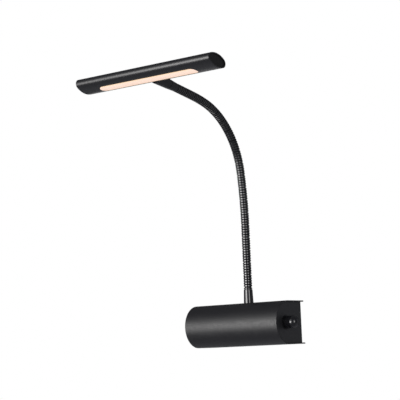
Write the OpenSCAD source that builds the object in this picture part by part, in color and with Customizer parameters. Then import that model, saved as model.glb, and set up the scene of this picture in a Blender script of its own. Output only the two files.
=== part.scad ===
// Wall lamp: a half-round base with a dimmer knob, a ribbed gooseneck and a slim oval light bar.
// Millimetres. X runs along the base, the wall is the plane y = 0, the front is -Y and Z is up.
// The origin is the middle of the wall bracket's back face.

/* [Base shell] */
// Length of the base along the wall
base_length = 138; // [130:1:170]
// Height of the base, twice the radius of its round front
base_height = 52.6; // [51:0.2:60]
// Depth of the base from the wall to its round front
base_depth = 60.6; // [60:0.2:70]
// Sheet thickness of the shell
shell_wall = 1.5; // [1:0.1:2]

/* [End plates] */
// Sheet thickness of the end plates
end_plate_thickness = 2; // [1.5:0.1:3]
// How far the end plates sit inside the ends of the shell
end_plate_inset = 1.5; // [0.5:0.1:3]
// Gap between the rear edge of an end plate and the wall
end_plate_rear_gap = 4.3; // [3:0.1:6]
// Seam between an end plate and the shell
end_plate_seam = 0.2; // [0.1:0.05:0.4]
// Length of the welding tabs folded inwards from an end plate
tab_length = 8; // [5:0.5:10]
// Width of the welding tabs
tab_width = 14; // [10:1:18]

/* [Wall bracket] */
// Length of the bracket
bracket_length = 104; // [96:1:116]
// Sheet thickness of the bracket
bracket_thickness = 1.5; // [1:0.1:2]
// Distance between the two wall screw holes
wall_hole_spacing = 80; // [60:1:88]
// Diameter of the wall screw holes
wall_hole_d = 5; // [4:0.1:6]
// Diameter of the hole that holds the cable grommet
inlet_hole_d = 16; // [12:0.5:18]
// Diameter of the cable's way through the grommet
cable_bore_d = 7; // [5:0.5:8]
// Diameter of the grub screws that hold the shell on the bracket
shell_screw_d = 4; // [3:0.5:5]
// Distance between the grub screws
shell_screw_spacing = 84; // [60:1:90]

/* [Chassis and electrics] */
// Sheet thickness of the chassis
chassis_thickness = 1.2; // [1:0.1:1.6]
// Length of the driver's case
driver_length = 44; // [36:1:46]
// Height of the driver's case
driver_height = 30; // [24:1:32]
// Depth of the driver's case
driver_depth = 18; // [14:0.5:20]
// Length of the terminal block
terminal_length = 27; // [25:0.5:30]
// Height of the terminal block
terminal_height = 16; // [14:0.5:18]
// Depth of the terminal block
terminal_depth = 11; // [9:0.5:12]
// Diameter of the single wires
wire_d = 1.8; // [1.4:0.1:2]

/* [Dimmer and knob] */
// Distance from the wall to the axis of dimmer and knob
dimmer_offset = 37.5; // [34:0.1:38]
// Depth of the dimmer's case behind the end plate
dimmer_depth = 17; // [12:0.5:20]
// Width and height of the dimmer's case
dimmer_size = 20; // [16:0.5:24]
// Diameter of the dimmer's threaded bush
bush_d = 7; // [6.5:0.1:8]
// Diameter of the dimmer's shaft
shaft_d = 4; // [3:0.1:5]
// Diameter of the knob and of its ball end
knob_d = 15.2; // [14.8:0.1:17]
// Length of the knob with its ball end
knob_length = 16.8; // [15:0.1:20]
// Diameter of the ring under the knob
bezel_d = 17.6; // [17:0.1:22]
// Thickness of the ring under the knob
bezel_thickness = 0.6; // [0.5:0.1:1.2]

/* [Neck collar] */
// Distance from the wall to the neck's axis
neck_offset = 18.3; // [17:0.1:19]
// Height of the collar
collar_height = 19.7; // [16:0.1:30]
// Diameter of the collar at its foot
collar_foot_d = 12.1; // [11.4:0.1:14]
// Diameter of the collar at the groove below its top
collar_top_d = 10.9; // [10.6:0.1:12]
// Width of the groove that parts the collar from its top rib
collar_groove = 0.8; // [0.5:0.1:1.2]
// Diameter of the threaded nipple that holds the collar
nipple_d = 8; // [7:0.1:8.6]
// Length of nipple in the collar
nipple_grip = 9; // [6:0.5:12]
// Width across the flats of the nipple's nut
neck_nut_flats = 12; // [11:0.1:12.4]

/* [Gooseneck] */
// Outside diameter of the ribbed hose
hose_d = 10.4; // [10:0.1:10.6]
// Diameter of the way through the hose
hose_bore_d = 6.4; // [5.6:0.1:6.6]
// Distance between neighbouring ribs
rib_pitch = 3.12; // [2.9:0.01:3.4]
// Width of a rib
rib_width = 1.7; // [1.6:0.05:1.8]
// Rise of a rib's crown above its sides
rib_crown = 0.35; // [0.25:0.05:0.4]
// Turn that one link allows on the next, in degrees
link_turn = 13; // [8:1:14]
// Height of the straight lower run
rise_length = 75; // [40:1:120]
// Length over which the neck starts to lean
lean_length = 70; // [40:1:100]
// Lean at the end of that length, in degrees
lean_turn = 8; // [2:0.5:12]
// Length of the main bend
bend_length = 112; // [100:1:140]
// Turn of the main bend, in degrees
bend_turn = 65; // [40:0.5:70]
// Length over which the bend runs out
runout_length = 25; // [15:1:40]
// Turn of the run-out, in degrees
runout_turn = 6.5; // [2:0.5:10]
// Diameter of the cable inside the neck
neck_cable_d = 4.2; // [3:0.1:4.4]

/* [Head] */
// Length of the light bar
head_length = 200; // [190:1:260]
// Width of the oval section
head_width = 32.2; // [31:0.1:36]
// Thickness of the oval section
head_height = 16.3; // [15.8:0.1:18]
// Radius of the oval's front and rear edges
head_nose_r = 5.6; // [5.2:0.1:6.2]
// Wall of the light bar's tube
head_wall = 1.4; // [1.2:0.1:1.6]
// Length of the light slot
slot_length = 145; // [120:1:160]
// Width of the light slot
slot_width = 14; // [12:0.1:14.4]
// How far the end caps sit inside the tube
cap_inset = 1; // [0.4:0.1:2]
// Depth of the end caps
cap_depth = 6; // [4:0.5:10]
// Thickness of the end caps' faces
cap_face = 2; // [1.5:0.1:3]

/* [Head joint] */
// Length of the tapered sleeve on the hose's end
sleeve_length = 13; // [11:0.1:18]
// Diameter of the sleeve at the hose
sleeve_start_d = 10.4; // [10:0.1:11]
// Diameter of the sleeve at the stub
sleeve_end_d = 11.9; // [11.4:0.1:13]
// Width of the groove between sleeve and stub
stub_groove = 0.8; // [0.4:0.1:1.5]
// Length of the stub from the groove to the tube's rear edge
stub_length = 20.5; // [16:0.1:26]
// Diameter of the stub at the groove
stub_start_d = 12.1; // [11.6:0.1:13]
// Diameter of the stub at the tube's rear edge
stub_end_d = 14; // [13:0.1:14.5]

/* [LED strip] */
// Length of the LED board
board_length = 160; // [120:1:170]
// Width of the LED board
board_width = 9; // [7:0.1:10]
// Thickness of the LED board
board_thickness = 1.2; // [0.8:0.1:1.6]
// Number of LEDs on the board
led_count = 24; // [12:2:30]
// Thickness of the aluminium carrier
carrier_thickness = 2.5; // [1.5:0.1:3]

/* [Hidden] */
$fn = 64;
// How far a cutter runs past the face that it opens
cut = 1;
// Radial play of a thread, a press fit or the turning shaft
fit = 0.05;
// Gap between pieces that lie next to each other
gap = 0.3;
// Seam round a piece that fills an opening
seam = 0.2;

black = [0.07, 0.07, 0.075];
dark_grey = [0.2, 0.2, 0.21];
steel = [0.72, 0.73, 0.74];
brass = [0.78, 0.64, 0.33];
white_plastic = [0.9, 0.9, 0.88];

// Base: the round front's centre and the faces that the pieces inside seat on
shell_r = base_height / 2;
shell_inner_r = shell_r - shell_wall;
round_y = shell_r - base_depth;
shell_end = base_length / 2;
plate_face = shell_end - end_plate_inset;
plate_back = plate_face - end_plate_thickness;
plate_r = shell_inner_r - end_plate_seam;

// Nut under the neck, and the chassis that leaves room for it
nut_corner_r = neck_nut_flats / 2 / cos(30);
nut_room = 1.2;
nut_height = 4;
washer_thickness = 1;
neck_washer_d = 2 * nut_corner_r + 0.4;
chassis_rear = -(neck_offset - nut_corner_r - nut_room);
web_rear = -(neck_offset + nut_corner_r + nut_room);
web_front = web_rear - chassis_thickness;
chassis_end_gap = 1.5;
chassis_left = -(plate_back - tab_length - chassis_end_gap);
chassis_right = plate_back - dimmer_depth - chassis_end_gap;
tab_y = (web_rear + chassis_rear) / 2;

// Bracket inside the open back of the shell
bracket_r = shell_inner_r - gap;
bracket_front = chassis_rear + chassis_end_gap;
shell_screw_length = 7;
shell_screw_socket = 2.5;
shell_screw_y = bracket_front / 2;
grommet_lip = 1.5;
grommet_flange = 2;

// Driver, hung by its two ears on the front of the chassis
ear_length = 6;
ear_thickness = 3;
driver_left = chassis_left + ear_length;
driver_right = driver_left + driver_length;
driver_screw_d = 3;
driver_screw_head_d = 5.4;
driver_screw_head = 1.8;
driver_screw_tip = 1.5;
ear_screws_x = [chassis_left + ear_length / 2, driver_right + ear_length / 2];

// Earth screw and the two wire holes through the chassis, beside the driver
earth_screw_d = 4;
earth_head_d = 7;
earth_head = 2.4;
earth_tip = 3;
earth_clear = 6;
earth_edge = 9.8;
earth_x = driver_right + ear_length + earth_clear;
earth_z = earth_edge - shell_inner_r;
tag_thickness = 0.8;
tag_width = 3;
tag_length = 2;
cable_hole_d = 8;
cable_hole_x = driver_right + ear_length + 7;
cable_hole_z = 5;
lead_hole_x = cable_hole_x + 14;

// Terminal block on the rear of the chassis, next to the earth screw
terminal_ways = 3;
terminal_pitch = 8.4;
terminal_x = earth_x + earth_head_d / 2 + 1 + terminal_length / 2;
terminal_z = -12;
terminal_top = terminal_z + terminal_height / 2;
terminal_rear = web_rear + terminal_depth;
terminal_screw_d = 3;
terminal_screw_length = 5;
screw_slot = 0.6;
terminal_wire_depth = 6;
lead_depth = 4;
fixing_x = terminal_x + terminal_pitch / 2;
fixing_screw_d = 2.6;
fixing_head_d = 4.6;
fixing_head = 1.6;
fixing_tip = 1;

// Spacing of leads that run side by side
lead_pitch = 3;

// Dimmer and knob
dimmer_y = -dimmer_offset;
knob_r = knob_d / 2;
knob_body = knob_length - knob_r;
shaft_r = shaft_d / 2;
bush_reach = 3.2;
bush_length = end_plate_thickness + bezel_thickness + bush_reach;
bezel_face = plate_face + bezel_thickness;
dimmer_nut_flats = 10;
dimmer_nut_height = 2.2;
knob_start = bezel_face + gap;
knob_play = 0.6;
knob_hollow_r = dimmer_nut_flats / 2 / cos(30) + knob_play;
knob_hollow_depth = bush_reach + knob_play;
shaft_in_knob = 10;
shaft_flat = shaft_r * 0.55;
shaft_start = plate_back - dimmer_depth / 2;

// Neck: the hose is a chain of links, each a row of ribs with a ball foot and a cupped last rib
neck_links = 20;
ribs_per_link = 5;
link_length = ribs_per_link * rib_pitch;
crest_r = hose_d / 2;
rib_side_r = crest_r - rib_crown;
rib_half = rib_width / 2;
hose_bore_r = hose_bore_d / 2;
rib_bore_r = hose_bore_r + 0.3;
cup_lip = 0.25;
cup_floor = 0.3;
cup_play = 0.25;
cup_r = rib_side_r - cup_lip;
ball_r = cup_r - cup_play;
ball_relief = 0.05;
valley_r = ball_r - ball_relief;
weld = 0.2;
hinge_rise = cup_floor - rib_half + ball_r * sin(link_turn) + cup_play;

collar_top = shell_r + collar_height;
neck_foot = collar_top - rib_half;
sleeve_start = neck_links * link_length + rib_pitch - rib_half;
stub_start = sleeve_start + sleeve_length + stub_groove;
head_start = stub_start + stub_length;
head_s = head_start + head_width / 2;
tail_length = head_s - rise_length - lean_length - bend_length - runout_length;
neck_runs = [
    [rise_length, 0],
    [lean_length, lean_turn],
    [bend_length, bend_turn],
    [runout_length, runout_turn],
    [tail_length, 0]
];

nipple_bore_r = neck_cable_d / 2 + 0.5;
nipple_top = shell_r + nipple_grip - gap;
washer_top = shell_inner_r - chassis_thickness;
nut_top = washer_top - washer_thickness;
nipple_tip = 3;
nipple_bottom = nut_top - nut_height - nipple_tip;

// Sleeve and stub
sleeve_socket_r = 4.4;
sleeve_socket_depth = 8;
stub_thread_r = 3.2;
stub_bore_r = neck_cable_d / 2 + 0.3;
stub_nut_flats = 8.4;
stub_nut_height = 2.5;
stub_nut_y = head_width / 2 - 5.3;
stub_tip = 0.6;
stub_tail_y = stub_nut_y - stub_nut_height - stub_tip;
stub_lip = 3;

// Oval of four arcs: the nose circles, and the broad arcs that run into them
oval_a = head_width / 2;
oval_b = head_height / 2;
nose_y = oval_a - head_nose_r;
broad_drop = (nose_y * nose_y - pow(oval_b - head_nose_r, 2)) / 2 / (oval_b - head_nose_r);
broad_r = broad_drop + oval_b;
join_y = broad_r * nose_y / (broad_r - head_nose_r);
broad_share = join_y / broad_r;

// Lamp pieces inside the tube
cap_outer = head_length / 2 - cap_inset;
carrier_length = 2 * (cap_outer - cap_depth - gap);
carrier_notch = 16;
cap_wall = 1.5;
led_length = 3.5;
led_width = 2.8;
led_height = 0.8;
led_pitch = (board_length - 10) / (led_count - 1);
lens_recess = 0.3;
lens_top = -4;
flange_lip = 1;
flange_width = slot_width + 2 * flange_lip;
flange_length = slot_length + 2 * flange_lip;

function link_name(i) = str("gooseneck_", i < 10 ? "0" : "", i);

// Place on the neck's centre line, as [y, z, lean], after one run of length d and turn t
function after_run(p, d, t) =
    t == 0 ? [p[0] - d * sin(p[2]), p[1] + d * cos(p[2]), p[2]]
    : let (r = d / t * 180 / PI)
      [p[0] + r * (cos(p[2] + t) - cos(p[2])), p[1] + r * (sin(p[2] + t) - sin(p[2])), p[2] + t];

// Place on the centre line at distance s from the top rib of the collar
function neck_place(s, i = 0, p = [-neck_offset, neck_foot, 0]) =
    let (
        run = neck_runs[i],
        last = i == len(neck_runs) - 1,
        d = last ? s : min(s, run[0]),
        q = after_run(p, d, run[1] * d / run[0])
    )
    last || s <= run[0] ? q : neck_place(s - run[0], i + 1, q);

function unit(v) = v / norm(v);

// A smooth path through a few points, with the given number of steps between two of them
function smooth_path(points, steps) =
    let (n = len(points) - 1)
    concat(
        [for (i = [0 : n - 1], k = [0 : steps - 1])
            let (
                a = points[max(i - 1, 0)],
                b = points[i],
                c = points[i + 1],
                d = points[min(i + 2, n)],
                t = k / steps
            )
            0.5 * (2 * b + (c - a) * t + (2 * a - 5 * b + 4 * c - d) * t * t
                + (3 * b - a - 3 * c + d) * t * t * t)],
        [points[n]]
    );

// Tube swept along points; across is a direction that the path never follows
module swept_tube(points, r, sides, across) {
    n = len(points);
    rings = [
        for (i = [0 : n - 1])
            let (
                t = unit(points[min(i + 1, n - 1)] - points[max(i - 1, 0)]),
                u = unit(cross(t, across)),
                v = cross(t, u)
            )
            for (k = [0 : sides - 1])
                points[i] + r * (cos(360 * k / sides) * u + sin(360 * k / sides) * v)
    ];
    walls = [
        for (i = [0 : n - 2], k = [0 : sides - 1])
            let (a = i * sides + k, b = i * sides + (k + 1) % sides)
            each [[a, a + sides, b + sides], [a, b + sides, b]]
    ];
    last = (n - 1) * sides;
    ends = [for (k = [1 : sides - 2]) each [[0, k, k + 1], [last, last + k + 1, last + k]]];
    polyhedron(points = rings, faces = concat(walls, ends));
}

// Sweep a section drawn in Y and Z along X, from x = start
module along_x(start, length) {
    translate([start, 0, 0]) rotate([90, 0, 90]) linear_extrude(length) children();
}

// Turn a piece drawn along Z so that it runs along +X, or along -Y to the front
module facing_x() {
    rotate([0, 90, 0]) children();
}

module facing_front() {
    rotate([90, 0, 0]) children();
}

module at_neck(s) {
    p = neck_place(s);
    translate([0, p[0], p[1]]) rotate([p[2], 0, 0]) children();
}

// Frame of the light bar: its middle, with -Y along the neck's end
module in_head() {
    at_neck(head_s) rotate([-90, 0, 0]) children();
}

module ring(outer_r, inner_r, height) {
    difference() {
        cylinder(r = outer_r, h = height);
        translate([0, 0, -cut]) cylinder(r = inner_r, h = height + 2 * cut);
    }
}

module hex(flats, height) {
    cylinder(r = flats / 2 / cos(30), h = height, $fn = 6);
}

// Section of the base: a half-round front with straight walls running back to rear_y
module base_section(r, rear_y) {
    intersection() {
        translate([round_y, 0]) circle(r);
        translate([round_y - 2 * r, -2 * r]) square([2 * r, 4 * r]);
    }
    translate([round_y, -r]) square([rear_y - round_y, 2 * r]);
}

// Oval section of the light bar, drawn inside its outline by inset
module oval(inset) {
    arc_r = broad_r - inset;
    join = arc_r * broad_share;
    intersection() {
        translate([0, -broad_drop]) circle(arc_r);
        translate([0, broad_drop]) circle(arc_r);
        translate([-join, -head_height]) square([2 * join, 2 * head_height]);
    }
    for (side = [-1, 1]) {
        intersection() {
            translate([side * nose_y, 0]) circle(head_nose_r - inset);
            translate([side * (join + head_width) - head_width, -head_height])
                square([2 * head_width, 2 * head_height]);
        }
    }
}

// Slot outline with round ends, in X and Y
module stadium(length, width) {
    straight = length - width;
    translate([-straight / 2, -width / 2]) square([straight, width]);
    for (side = [-1, 1]) {
        intersection() {
            translate([side * straight / 2, 0]) circle(width / 2);
            translate([side * (straight / 2 + width) - width, -width])
                square([2 * width, 2 * width]);
        }
    }
}

module at_wall_holes() {
    for (side = [-1, 1]) translate([side * wall_hole_spacing / 2, 0, 0]) children();
}

module at_shell_screws() {
    for (side = [-1, 1]) translate([side * shell_screw_spacing / 2, shell_screw_y, 0]) children();
}

// Zinc-plated steel strip on the wall, with a flange above and below for the shell
module wall_bracket() {
    color(steel) difference() {
        translate([-bracket_length / 2, bracket_front, -bracket_r])
            cube([bracket_length, -bracket_front, 2 * bracket_r]);
        translate([-bracket_length, bracket_front - cut, -bracket_r + bracket_thickness])
            cube([2 * bracket_length, -bracket_front - bracket_thickness + cut,
                2 * (bracket_r - bracket_thickness)]);
        at_wall_holes() translate([0, cut, 0]) facing_front()
            cylinder(d = wall_hole_d, h = bracket_thickness + 2 * cut);
        translate([0, cut, 0]) facing_front()
            cylinder(d = inlet_hole_d, h = bracket_thickness + 2 * cut);
        at_shell_screws() translate([0, 0, -bracket_r - cut])
            cylinder(r = shell_screw_d / 2 + fit, h = bracket_thickness + 2 * cut);
    }
}

// Rubber grommet in the bracket's cable inlet, flush with the wall
module cable_grommet() {
    color(black) difference() {
        union() {
            facing_front() cylinder(r = inlet_hole_d / 2 - fit, h = bracket_thickness + grommet_flange / 2);
            translate([0, -bracket_thickness, 0]) facing_front()
                cylinder(r = inlet_hole_d / 2 + grommet_lip, h = grommet_flange);
        }
        translate([0, cut, 0]) facing_front()
            cylinder(d = cable_bore_d, h = bracket_thickness + grommet_flange + 2 * cut);
    }
}

// Bent steel sheet, open at the ends and towards the wall
module base_shell() {
    color(black) difference() {
        along_x(-shell_end, base_length) base_section(shell_r, 0);
        along_x(-base_length, 2 * base_length) base_section(shell_inner_r, cut);
        translate([0, -neck_offset, 0]) cylinder(r = nipple_d / 2 + fit, h = base_height);
        at_shell_screws() translate([0, 0, -base_height])
            cylinder(r = shell_screw_d / 2 + fit, h = base_height);
    }
}

// Grub screws from below, through the shell into the bracket's flange
module shell_screws() {
    color(dark_grey) at_shell_screws() translate([0, 0, -shell_r]) difference() {
        cylinder(d = shell_screw_d, h = shell_screw_length);
        translate([0, 0, -cut]) hex(shell_screw_d / 2, shell_screw_socket + cut);
    }
}

// Flat plate that closes the shell's left end, with two tabs welded to its walls
module end_plate_left() {
    color(dark_grey) {
        along_x(-plate_face, end_plate_thickness) base_section(plate_r, -end_plate_rear_gap);
        for (side = [-1, 1]) {
            translate([-plate_back, tab_y - tab_width / 2, side * (plate_r - chassis_thickness / 2)
                - chassis_thickness / 2]) cube([tab_length, tab_width, chassis_thickness]);
        }
    }
}

// The right end's plate is the left one's mirror, with a hole for the dimmer's bush
module end_plate_right() {
    color(dark_grey) difference() {
        mirror([1, 0, 0]) end_plate_left();
        translate([plate_back - cut, dimmer_y, 0]) facing_x()
            cylinder(r = bush_d / 2 + fit, h = end_plate_thickness + 2 * cut);
    }
}

module at_ear_screws() {
    for (x = ear_screws_x) translate([x, 0, 0]) children();
}

// Channel welded inside the shell: it carries the electrics and stiffens the neck's seat
module chassis() {
    color(steel) difference() {
        translate([chassis_left, web_front, -shell_inner_r])
            cube([chassis_right - chassis_left, chassis_rear - web_front, 2 * shell_inner_r]);
        translate([chassis_left - cut, web_rear, -shell_inner_r + chassis_thickness])
            cube([chassis_right - chassis_left + 2 * cut, chassis_rear - web_rear + cut,
                2 * (shell_inner_r - chassis_thickness)]);
        translate([0, -neck_offset, 0]) cylinder(r = nipple_d / 2 + fit, h = base_height);
        at_ear_screws() translate([0, web_rear + cut, 0]) facing_front()
            cylinder(r = driver_screw_d / 2 + fit, h = chassis_thickness + 2 * cut);
        translate([fixing_x, web_rear + cut, terminal_z]) facing_front()
            cylinder(r = fixing_screw_d / 2 + fit, h = chassis_thickness + 2 * cut);
        translate([earth_x, web_rear + cut, earth_z]) facing_front()
            cylinder(r = earth_screw_d / 2 + fit, h = chassis_thickness + 2 * cut);
        for (x = [cable_hole_x, lead_hole_x]) {
            translate([x, web_rear + cut, cable_hole_z]) facing_front()
                cylinder(d = cable_hole_d, h = chassis_thickness + 2 * cut);
        }
    }
}

// Sealed LED driver: a moulded case with an ear at each end
module led_driver() {
    color(white_plastic) difference() {
        union() {
            translate([driver_left, web_front - driver_depth, -driver_height / 2])
                cube([driver_length, driver_depth, driver_height]);
            translate([chassis_left, web_front - ear_thickness, -driver_height / 4])
                cube([driver_length + 2 * ear_length, ear_thickness, driver_height / 2]);
        }
        at_ear_screws() translate([0, web_front + cut, 0]) facing_front()
            cylinder(r = driver_screw_d / 2 + seam, h = ear_thickness + 2 * cut);
    }
}

// Pan-head screw along +Z, head first, with a cross slot
module pan_screw(d, length, head_d, head) {
    slot = head_d * 0.6;
    slot_width = head_d * 0.12;
    difference() {
        union() {
            cylinder(d = head_d, h = head);
            cylinder(d = d, h = head + length);
        }
        for (turn = [0, 90]) {
            rotate([0, 0, turn]) translate([-slot / 2, -slot_width / 2, -cut])
                cube([slot, slot_width, head / 2 + cut]);
        }
    }
}

// Screws through the driver's ears into the chassis
module driver_screws() {
    color(steel) at_ear_screws()
        translate([0, web_front - ear_thickness - driver_screw_head, 0]) rotate([-90, 0, 0])
            pan_screw(driver_screw_d, ear_thickness + chassis_thickness + driver_screw_tip,
                driver_screw_head_d, driver_screw_head);
}

module at_terminals() {
    for (i = [0 : terminal_ways - 1])
        translate([terminal_x + (i - (terminal_ways - 1) / 2) * terminal_pitch, 0, 0]) children();
}

// Three-way terminal block for the supply, screwed to the rear of the chassis
module terminal_block() {
    color(white_plastic) difference() {
        translate([terminal_x - terminal_length / 2, web_rear, terminal_z - terminal_height / 2])
            cube([terminal_length, terminal_depth, terminal_height]);
        for (z = [terminal_top - terminal_wire_depth, terminal_z - terminal_height / 2 - cut]) {
            at_terminals() translate([0, web_rear + terminal_depth / 2, z])
                cylinder(d = wire_d + 2 * gap, h = terminal_wire_depth + cut);
        }
        at_terminals() translate([0, terminal_rear + cut, terminal_z]) facing_front()
            cylinder(r = terminal_screw_d / 2 + fit, h = terminal_screw_length + cut);
        translate([fixing_x, terminal_rear + cut, terminal_z]) facing_front()
            cylinder(r = fixing_screw_d / 2 + fit, h = terminal_depth + 2 * cut);
        translate([fixing_x, terminal_rear + cut, terminal_z]) facing_front()
            cylinder(r = fixing_head_d / 2 + gap, h = terminal_depth / 2 + cut);
    }
}

// Slotted clamping screws of the terminal block
module terminal_screws() {
    color(brass) at_terminals() translate([0, terminal_rear, terminal_z]) facing_front() difference() {
        cylinder(d = terminal_screw_d, h = terminal_screw_length);
        translate([-terminal_screw_d, -screw_slot / 2, -cut])
            cube([2 * terminal_screw_d, screw_slot, screw_slot + cut]);
    }
}

module terminal_fixing_screw() {
    color(steel) translate([fixing_x, web_rear + terminal_depth / 2 + fixing_head, terminal_z])
        facing_front() pan_screw(fixing_screw_d, terminal_depth / 2 + chassis_thickness + fixing_tip,
            fixing_head_d, fixing_head);
}

module earth_screw() {
    color(brass) translate([earth_x, web_rear + tag_thickness + earth_head, earth_z]) facing_front()
        pan_screw(earth_screw_d, tag_thickness + chassis_thickness + earth_tip, earth_head_d, earth_head);
}

// Green and yellow lead from the terminal block, with its ring tag under the earth screw
module earth_lead() {
    color([0.45, 0.62, 0.2]) {
        translate([earth_x, web_rear + tag_thickness, earth_z]) facing_front()
            ring(earth_head_d / 2, earth_screw_d / 2 + fit, tag_thickness);
        swept_tube(smooth_path([
            [earth_x, web_rear + tag_thickness + weld, earth_z + earth_head_d / 2 + weld],
            [earth_x, web_rear + 2, earth_z + 8],
            [earth_x + 4, web_rear + 4.5, terminal_top + 6],
            [terminal_x - terminal_pitch, web_rear + terminal_depth / 2, terminal_top + 4],
            [terminal_x - terminal_pitch, web_rear + terminal_depth / 2, terminal_top + 1],
            [terminal_x - terminal_pitch, web_rear + terminal_depth / 2, terminal_top - lead_depth]
        ], 4), wire_d / 2, 8, [1, 0.3, 0]);
        translate([earth_x - tag_width / 2, web_rear, earth_z + earth_head_d / 2 - 2 * weld])
            cube([tag_width, tag_thickness, tag_length]);
    }
}

// Live and neutral leads from the terminal block, through the chassis to the driver
module mains_leads() {
    mid_y = web_rear + terminal_depth / 2;
    color([0.45, 0.3, 0.2]) for (i = [0, 1]) {
        swept_tube(smooth_path([
            [terminal_x + i * terminal_pitch, mid_y, terminal_top - lead_depth],
            [terminal_x + i * terminal_pitch, mid_y, terminal_top + 1],
            [terminal_x + i * terminal_pitch, mid_y, terminal_top + 3 + lead_pitch * i],
            [lead_hole_x + 3, web_rear + 4, cable_hole_z + lead_pitch * (i - 0.5)],
            [lead_hole_x, web_front - 2, cable_hole_z + lead_pitch * (i - 0.5)],
            [lead_hole_x - 8, web_front - 9, cable_hole_z + lead_pitch * (i - 1)],
            [driver_right + 6, web_front - 12, lead_pitch * i - 2],
            [driver_right + gap, web_front - 12, lead_pitch * i - 2]
        ], 4), wire_d / 2, 8, [0.2, 0.1, 1]);
    }
}

// Control leads between dimmer and driver
module dimmer_leads() {
    color([0.75, 0.75, 0.72]) for (i = [0 : 2]) {
        swept_tube(smooth_path([
            [plate_back - dimmer_depth - gap, dimmer_y - lead_pitch * (i - 1), -6],
            [chassis_right - 6, dimmer_y - lead_pitch * (i - 1), -6],
            [driver_right + 8, web_front - 8 - lead_pitch * i, -9],
            [driver_right + gap, web_front - 8 - lead_pitch * i, -9]
        ], 4), wire_d / 2, 8, [0, 0, 1]);
    }
}

module at_dimmer(x) {
    translate([x, dimmer_y, 0]) facing_x() children();
}

// Rotary dimmer: a square case behind the end plate, with its threaded bush through the plate
module dimmer_body() {
    color(dark_grey) difference() {
        union() {
            translate([plate_back - dimmer_depth, dimmer_y - dimmer_size / 2, -dimmer_size / 2])
                cube([dimmer_depth, dimmer_size, dimmer_size]);
            at_dimmer(plate_back) cylinder(d = bush_d, h = bush_length);
        }
        at_dimmer(shaft_start) cylinder(r = shaft_r + fit, h = dimmer_depth + bush_length);
    }
}

// Thin black ring on the plate round the bush
module knob_bezel() {
    color(black) at_dimmer(plate_face) ring(bezel_d / 2, bush_d / 2 + fit, bezel_thickness);
}

module dimmer_nut() {
    color(steel) at_dimmer(bezel_face) difference() {
        hex(dimmer_nut_flats, dimmer_nut_height);
        translate([0, 0, -cut]) cylinder(r = bush_d / 2 + fit, h = dimmer_nut_height + 2 * cut);
    }
}

// Shaft with one flat, seen from its end as the knob's bore too
module flatted_shaft(r, flat, length) {
    difference() {
        cylinder(r = r, h = length);
        translate([flat, -2 * r, -cut]) cube([2 * r, 4 * r, length + 2 * cut]);
    }
}

module dimmer_shaft() {
    color(steel) at_dimmer(shaft_start + gap) union() {
        cylinder(r = shaft_r, h = knob_start + knob_hollow_depth - shaft_start - gap);
        flatted_shaft(shaft_r, shaft_flat, knob_start + shaft_in_knob - shaft_start - gap);
    }
}

// Smooth knob with a ball end, hollow over the nut and bored for the flatted shaft
module knob() {
    color(black) at_dimmer(knob_start) difference() {
        rotate_extrude() {
            square([knob_r, knob_body]);
            translate([0, knob_body]) intersection() {
                circle(knob_r);
                square(knob_d);
            }
        }
        translate([0, 0, -cut]) cylinder(r = knob_hollow_r, h = knob_hollow_depth + cut);
        flatted_shaft(shaft_r + fit, shaft_flat + fit, shaft_in_knob + gap);
    }
}

// Hollow threaded nipple through the shell and chassis, with its washer and nut inside
module neck_nipple() {
    color(steel) translate([0, -neck_offset, nipple_bottom])
        ring(nipple_d / 2, nipple_bore_r, nipple_top - nipple_bottom);
}

module neck_washer() {
    color(steel) translate([0, -neck_offset, nut_top])
        ring(neck_washer_d / 2, nipple_d / 2 + fit, washer_thickness);
}

module neck_nut() {
    color(steel) translate([0, -neck_offset, nut_top - nut_height]) difference() {
        hex(neck_nut_flats, nut_height);
        translate([0, 0, -cut]) cylinder(r = nipple_d / 2 + fit, h = nut_height + 2 * cut);
    }
}

// Turned collar, slightly tapered. Above a groove its top is a rib like the hose's and takes its foot
module neck_collar() {
    taper = collar_height - rib_width - collar_groove;
    color(black) translate([0, -neck_offset, shell_r]) difference() {
        union() {
            cylinder(d1 = collar_foot_d, d2 = collar_top_d, h = taper);
            translate([0, 0, taper - weld]) cylinder(r = valley_r, h = collar_groove + rib_half + weld);
            translate([0, 0, collar_height - rib_half]) rotate_extrude() rib_section(valley_r - weld);
        }
        translate([0, 0, -cut]) cylinder(r = nipple_d / 2 + fit, h = nipple_grip + cut);
        cylinder(r = hose_bore_r, h = collar_height + cut);
        translate([0, 0, collar_height - rib_width + cup_floor]) cylinder(r = cup_r, h = rib_width + cut);
    }
}

// Two-core cable from the driver through the neck to the LED board
module neck_cable() {
    steps = 44;
    first = [-neck_offset, nipple_bottom - 1];
    inside = [
        [driver_right + gap, web_front - 6, cable_hole_z],
        [driver_right + 5, web_front - 6, cable_hole_z],
        [cable_hole_x, web_front - 2, cable_hole_z],
        [cable_hole_x - 0.5, web_rear + 3, cable_hole_z + 0.5],
        [(cable_hole_x - 0.5) / 3, first[0] - 0.8, first[1] - 4],
        [0, first[0], first[1]]
    ];
    up = [for (z = [nipple_bottom + 6, shell_r, collar_top - 6]) [0, -neck_offset, z]];
    end_s = head_s - board_width / 2 - gap;
    along = [for (i = [0 : steps]) let (p = neck_place(end_s * i / steps)) [0, p[0], p[1]]];
    color([0.15, 0.15, 0.15])
        swept_tube(concat(smooth_path(inside, 3), up, along), neck_cable_d / 2, 8, [1, 0, 0.35]);
}

// One rib: a band with a crowned rim, drawn as half a section in radius and height
module rib_section(inner_r) {
    crown_r = (rib_half * rib_half + rib_crown * rib_crown) / 2 / rib_crown;
    translate([inner_r, -rib_half]) square([rib_side_r - inner_r, rib_width]);
    intersection() {
        translate([crest_r - crown_r, 0]) circle(crown_r);
        translate([rib_side_r, -crest_r]) square(2 * crest_r);
    }
}

module rib() {
    rotate_extrude() rib_section(rib_bore_r);
}

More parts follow.
